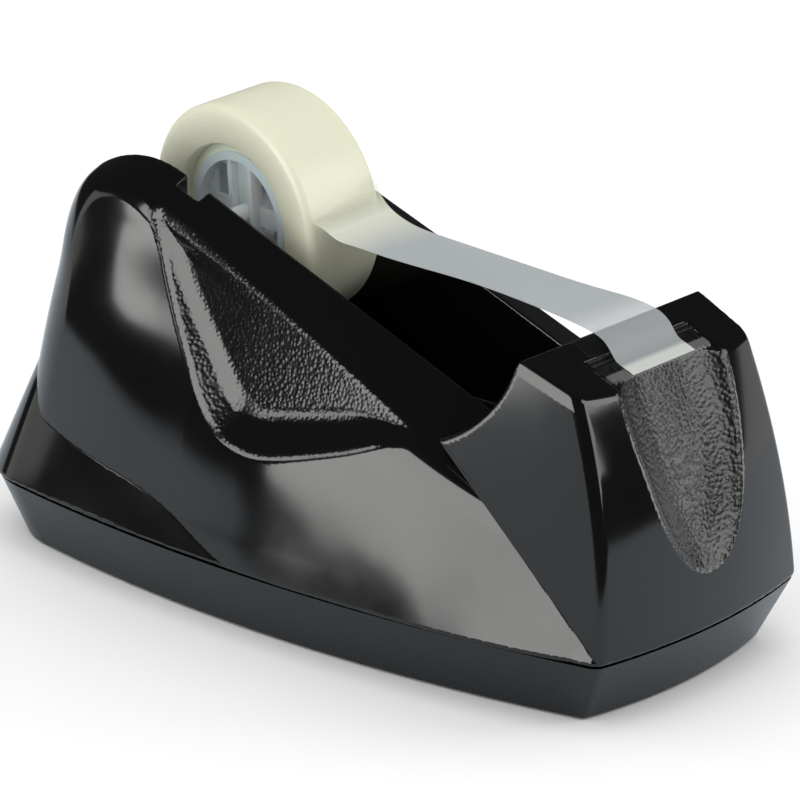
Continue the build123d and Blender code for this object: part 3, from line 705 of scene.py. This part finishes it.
def lathe(name, profile, count=192):
    """Closed ring swept from (radius, along) points in millimetres."""
    turn = np.linspace(0, 2 * math.pi, count, endpoint=False)
    points = [(r * math.cos(a) * MM, r * math.sin(a) * MM, t * MM) for a in turn for r, t in profile]
    n = len(profile)
    faces = []
    for i in range(count):
        for k in range(n):
            here, ahead = i * n, (i + 1) % count * n
            faces.append((here + k, ahead + k, ahead + (k + 1) % n, here + (k + 1) % n))
    mesh = bpy.data.meshes.new(name)
    mesh.from_pydata(points, [], faces)
    turned = bmesh.new()
    turned.from_mesh(mesh)
    bmesh.ops.recalc_face_normals(turned, faces=turned.faces)
    turned.to_mesh(mesh)
    turned.free()
    mesh.shade_smooth()
    ring = bpy.data.objects.new(name, mesh)
    bpy.context.scene.collection.objects.link(ring)
    return ring


def build_roll():
    """Wound tape with its outer edges worn round."""
    corner_r, corner_t = ROLL_R - ROLL_EDGE, ROLL_HALF - ROLL_EDGE
    arc = [math.radians(a) for a in range(0, 91, 10)]
    profile = []
    for side in (-1, 1):
        half = [
            (corner_r + ROLL_EDGE * math.cos(a), side * (corner_t + ROLL_EDGE * math.sin(a)))
            for a in arc
        ]
        half += [
            (ROLL_BORE + BORE_CHAMFER, side * ROLL_HALF),
            (ROLL_BORE, side * (ROLL_HALF - BORE_CHAMFER)),
        ]
        profile += half[::side]
    roll = lathe("wound_tape", profile)
    roll.matrix_world = spool_matrix()
    roll.data.materials.append(tape_wound())
    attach(roll, "spool")
    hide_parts("tape_roll")


# ---------------------------------------------------------------- housing mesh
MESH_MARGIN, MESH_HALF_WIDTH, MESH_TOP_Z = 1.3, 42.0, 83.5
LEAF_GRAIN = 0.33                      # the leaves' leather is this deep, the scoop's is 1
GRAIN_FADE = (0.02, 0.45)              # millimetres outside a pocket over which its grain ends
LARGEST_STEP = 0.3


def gradient(fn, p, reach=0.05):
    """Unit gradient of a field at the points p, from the corners of a small tetrahedron."""
    total = np.zeros_like(p)
    for corner in ((1, 1, 1), (1, -1, -1), (-1, 1, -1), (-1, -1, 1)):
        at = p + reach * np.array(corner)
        total += np.array(corner) * fn(*at.T)[:, None]
    return total / np.linalg.norm(total, axis=1, keepdims=True)


def build_housing():
    """The moulded housing, meshed from its distance field."""
    def field(x, y, z):
        return housing(x, y, z)[0]

    low = (-HALF_LENGTH - MESH_MARGIN, -MESH_HALF_WIDTH, PARTING_Z - MESH_MARGIN)
    high = (HALF_LENGTH + MESH_MARGIN, MESH_HALF_WIDTH, MESH_TOP_Z)
    points, quads = surface_nets(field, low, high, GRID_MM)
    for _ in range(2):
        step = np.clip(field(*points.T), -LARGEST_STEP, LARGEST_STEP)
        points -= gradient(field, points) * step[:, None]
    normals = gradient(field, points)
    _, leaf_d, scoop_d = housing(*points.T)
    leaf_grain, scoop_grain = (1 - smoothstep(d, *GRAIN_FADE) for d in (leaf_d, scoop_d))
    grain = np.maximum(LEAF_GRAIN * leaf_grain, scoop_grain)
    mesh = bpy.data.meshes.new("housing_shell")
    mesh.vertices.add(len(points))
    mesh.vertices.foreach_set("co", (points * MM).ravel())
    mesh.loops.add(quads.size)
    mesh.loops.foreach_set("vertex_index", quads.ravel().astype(np.int32))
    mesh.polygons.add(len(quads))
    mesh.polygons.foreach_set("loop_start", np.arange(0, quads.size, 4, dtype=np.int32))
    mesh.update(calc_edges=True)
    mesh.validate()
    mesh.shade_smooth()
    mesh.normals_split_custom_set_from_vertices(normals)
    attribute = mesh.attributes.new("grain", "FLOAT", "POINT")
    attribute.data.foreach_set("value", grain.astype(np.float32))
    shell = bpy.data.objects.new("housing_shell", mesh)
    bpy.context.scene.collection.objects.link(shell)
    mesh.materials.append(housing_material())
    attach(shell, "base")
    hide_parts("upper_housing")


# ------------------------------------------------------------------------ stage
CAMERA_AZIMUTH, CAMERA_ELEVATION, CAMERA_LEAN = 39.261, 19.967, 1.042
CAMERA_TARGET, CAMERA_DISTANCE = (0.00518, -0.000014, 0.03927), 0.9614
SENSOR_MM, LENS_MM = 36.0, 222.57
LIGHT_AIM = (0, 0, 0.04)
WHITE, UNLIT = (1.0, 1.0, 1.0, 1), (0.03, 0.03, 0.032, 1)
CARD_WHITE = (1.0, 1.0, 0.98, 1)
PAPER, PAPER_REFLECTED = (0.92, 0.92, 0.92, 1), (0.71, 0.77, 0.82, 1)
FLOOR_HALF = 3.0
PAPER_END = (0.65, 0.8)                # reflections lose the paper between these radii
LINE_BLUR = 0.012
# where reflections find no paper, each between two lines: offset, x and y factors
PAPER_GAPS = [
    ((-0.165, 1.0, 0.0), (-0.104, -0.31, 1.0)),
    ((-0.200, 0.0, 1.0), (0.041, 1.0, -0.33)),
]
# reflectors: bearing faced, distance, radiance, (sideways, up) corners in metres
LEFT_PLANE, FRONT_PLANE = (26, 0.37), (-128, 0.40)
REFLECTORS = {
    "main_box": (LEFT_PLANE, 6.0, [
        (-0.05, 0.001), (0.07, 0.001), (0.30, 0.102), (0.30, 0.40), (0.06, 0.40), (-0.03, 0.06),
    ]),
    "left_low": (LEFT_PLANE, 6.0, [
        (-0.212, 0.058), (-0.205, 0.042), (-0.185, 0.038), (-0.158, 0.042), (-0.152, 0.060),
    ]),
    "left_high": (LEFT_PLANE, 5.0, [
        (-0.155, 0.100), (-0.06, 0.100), (-0.06, 0.25), (-0.10, 0.25),
    ]),
    "left_wall": (LEFT_PLANE, 1.0, [
        (-0.40, 0.001), (-0.315, 0.001), (-0.262, 0.055), (-0.235, 0.065), (-0.235, 0.09),
        (-0.40, 0.12),
    ]),
    "front_box": (FRONT_PLANE, 4.0, [
        (-0.26, 0.15), (0.0, 0.13), (0.0, 0.50), (-0.26, 0.50),
    ]),
    "scoop_side": (FRONT_PLANE, 3.5, [
        (-0.26, 0.08), (-0.112, 0.085), (-0.112, 0.15), (-0.26, 0.16),
    ]),
    "scoop_box": (FRONT_PLANE, 4.0, [
        (-0.025, 0.015), (0.065, 0.015), (0.065, 0.10), (-0.025, 0.10),
    ]),
    "front_sweep": (FRONT_PLANE, 1.0, [
        (0.10, 0.001), (0.30, 0.001), (0.25, 0.11), (0.15, 0.085),
    ]),
}


def add_camera():
    """Long lens from the cutter's end, a little above; the picture leans one degree."""
    azimuth, elevation = math.radians(CAMERA_AZIMUTH), math.radians(CAMERA_ELEVATION)
    lean = math.radians(CAMERA_LEAN)
    back = Vector((
        math.sin(azimuth) * math.cos(elevation),
        -math.cos(azimuth) * math.cos(elevation),
        math.sin(elevation),
    ))
    right = Vector((0, 0, 1)).cross(back).normalized()
    up = back.cross(right)
    side = math.cos(lean) * right + math.sin(lean) * up
    rise = -math.sin(lean) * right + math.cos(lean) * up
    data = bpy.data.cameras.new("camera")
    data.sensor_width = SENSOR_MM
    data.lens = LENS_MM
    camera = bpy.data.objects.new("camera", data)
    place = Matrix((side, rise, back)).transposed().to_4x4()
    place.translation = Vector(CAMERA_TARGET) + back * CAMERA_DISTANCE
    camera.matrix_world = place
    bpy.context.scene.collection.objects.link(camera)
    bpy.context.scene.camera = camera


def softbox(name, centre, size, radiance, glossy=True):
    """Rectangular light whose face has the given radiance, aimed at the object."""
    data = bpy.data.lights.new(name, "AREA")
    data.shape = "RECTANGLE"
    data.size, data.size_y = size
    data.energy = radiance * math.pi * size[0] * size[1]
    lamp = bpy.data.objects.new(name, data)
    lamp.location = centre
    away = Vector(centre) - Vector(LIGHT_AIM)
    lamp.rotation_euler = away.to_track_quat("Z", "Y").to_euler()
    lamp.visible_glossy = glossy
    bpy.context.scene.collection.objects.link(lamp)


def bearing(degrees_from_front, distance, height):
    """A place round the object: 0 is towards -Y, positive turns towards -X."""
    a = math.radians(degrees_from_front)
    return (-math.sin(a) * distance, -math.cos(a) * distance, height)


def reflector(name, plane, radiance, corners):
    """A glowing card seen only in reflections, upright and square to a bearing.

    Its corners are (sideways, up) in metres from the card's foot at that distance.
    """
    facing, distance = plane
    centre = Vector(bearing(facing, distance, 0.0))
    turn = math.radians(facing)
    sideways = Vector((math.cos(turn), -math.sin(turn), 0))
    mesh = bpy.data.meshes.new(name)
    points = [centre + sideways * u + Vector((0, 0, v)) for u, v in corners]
    mesh.from_pydata(points, [], [range(len(points))])
    card = bpy.data.objects.new(name, mesh)
    bpy.context.scene.collection.objects.link(card)
    material, _ = new_material(name)
    glow = add(material, "ShaderNodeEmission", {"Color": CARD_WHITE, "Strength": radiance})
    link(material, glow.outputs[0], surface_socket(material))
    mesh.materials.append(material)
    card.visible_camera = card.visible_diffuse = card.visible_shadow = False
    card.visible_transmission = False


def add_world():
    """White behind the object, dark in its reflections."""
    world = bpy.data.worlds.new("studio")
    bpy.context.scene.world = world
    world.use_nodes = True
    glossy = add(world, "ShaderNodeLightPath").outputs["Is Glossy Ray"]
    background = world.node_tree.nodes["Background"]
    link(world, blend_color(world, glossy, WHITE, UNLIT), background.inputs["Color"])


def below_line(material, coords, offset, slope_x, slope_y):
    """1 where slope_x * x + slope_y * y is under the offset, 0 above it."""
    dot = add(material, "ShaderNodeVectorMath", operation="DOT_PRODUCT")
    dot.inputs[1].default_value = (slope_x, slope_y, 0)
    link(material, coords, dot.inputs[0])
    return ramp(material, dot.outputs["Value"], 1.0, 0.0, offset - LINE_BLUR, offset + LINE_BLUR)


def paper_gap(material, coords, first, second):
    """1 where both lines say the paper is missing."""
    masks = [below_line(material, coords, *line) for line in (first, second)]
    return math_node(material, "MULTIPLY", *masks)


def add_floor():
    """White paper; reflections find it bluish, with two gaps, and see it end all round."""
    mesh = bpy.data.meshes.new("floor")
    signs = ((-1, -1), (1, -1), (1, 1), (-1, 1))
    mesh.from_pydata([(FLOOR_HALF * i, FLOOR_HALF * j, 0) for i, j in signs], [], [(0, 1, 2, 3)])
    floor = bpy.data.objects.new("floor", mesh)
    bpy.context.scene.collection.objects.link(floor)
    material, shader = new_material("floor_paper")
    set_inputs(shader, Roughness=1.0, Specular_IOR_Level=0.0)
    coords = object_coords(material)
    glossy = add(material, "ShaderNodeLightPath").outputs["Is Glossy Ray"]
    paper = blend_color(material, glossy, PAPER, PAPER_REFLECTED)
    link(material, paper, shader.inputs["Base Color"])
    length = add(material, "ShaderNodeVectorMath", operation="LENGTH")
    link(material, coords, length.inputs[0])
    far = ramp(material, length.outputs["Value"], 0.0, 1.0, *PAPER_END)
    gaps = [paper_gap(material, coords, *gap) for gap in PAPER_GAPS]
    missing = math_node(material, "MAXIMUM", far, math_node(material, "MAXIMUM", *gaps))
    mixed = add(material, "ShaderNodeMixShader")
    link(material, math_node(material, "MULTIPLY", missing, glossy), mixed.inputs[0])
    link(material, shader.outputs[0], mixed.inputs[1])
    unlit = add(material, "ShaderNodeEmission", {"Color": UNLIT})
    link(material, unlit.outputs[0], mixed.inputs[2])
    link(material, mixed.outputs[0], surface_socket(material))
    mesh.materials.append(material)


def add_studio():
    """World, paper, three soft lights and the reflector cards."""
    bpy.context.scene.view_settings.view_transform = "Standard"
    add_world()
    add_floor()
    softbox("sky", (0.0, 0.0, 2.2), (3.2, 3.2), 0.3, glossy=False)
    softbox("fill", bearing(15, 1.2, 0.6), (0.8, 0.8), 0.8, glossy=False)
    softbox("back_box", (0.75, 0.75, 0.5), (0.5, 0.4), 2.5)
    for name, (plane, radiance, corners) in REFLECTORS.items():
        reflector(name, plane, radiance, corners)


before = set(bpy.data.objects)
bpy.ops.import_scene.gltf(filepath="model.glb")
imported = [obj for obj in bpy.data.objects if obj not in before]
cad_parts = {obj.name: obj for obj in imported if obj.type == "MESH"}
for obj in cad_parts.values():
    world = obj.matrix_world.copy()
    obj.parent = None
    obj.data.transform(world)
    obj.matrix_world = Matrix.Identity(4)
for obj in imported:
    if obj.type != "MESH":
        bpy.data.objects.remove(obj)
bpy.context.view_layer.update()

build_housing()
assign(["base_tray"], satin_plastic())
assign(["ballast"], simple("ballast_iron", (0.05, 0.05, 0.05), 0.7))
assign(["blade_holder"], simple("holder_black", (0.01, 0.01, 0.01), 0.3))
assign(["cutter_blade"], blade_steel())
assign(
    ["housing_screws", "ballast_screws", "holder_screws"],
    simple("screw_steel", (0.4, 0.4, 0.4), 0.3, metallic=1.0),
)
assign(
    [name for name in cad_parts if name.startswith("foot_")],
    simple("foot_rubber", (0.02, 0.02, 0.02), 0.8),
)
build_roll()
assign(
    ["tape_core"],
    simple(
        "core_plastic", (0.86, 0.85, 0.66), 0.35, bump_mm=0.01,
        Subsurface_Weight=0.4, Subsurface_Scale=0.004,
    ),
)
assign(
    ["hub_near", "hub_far"],
    simple(
        "hub_clear", (0.93, 0.95, 0.97), 0.22, bump_mm=0.005,
        Transmission_Weight=0.3, Subsurface_Weight=0.4, Subsurface_Scale=0.006,
    ),
)
assign(["tape_strip"], tape_film())

add_camera()
add_studio()
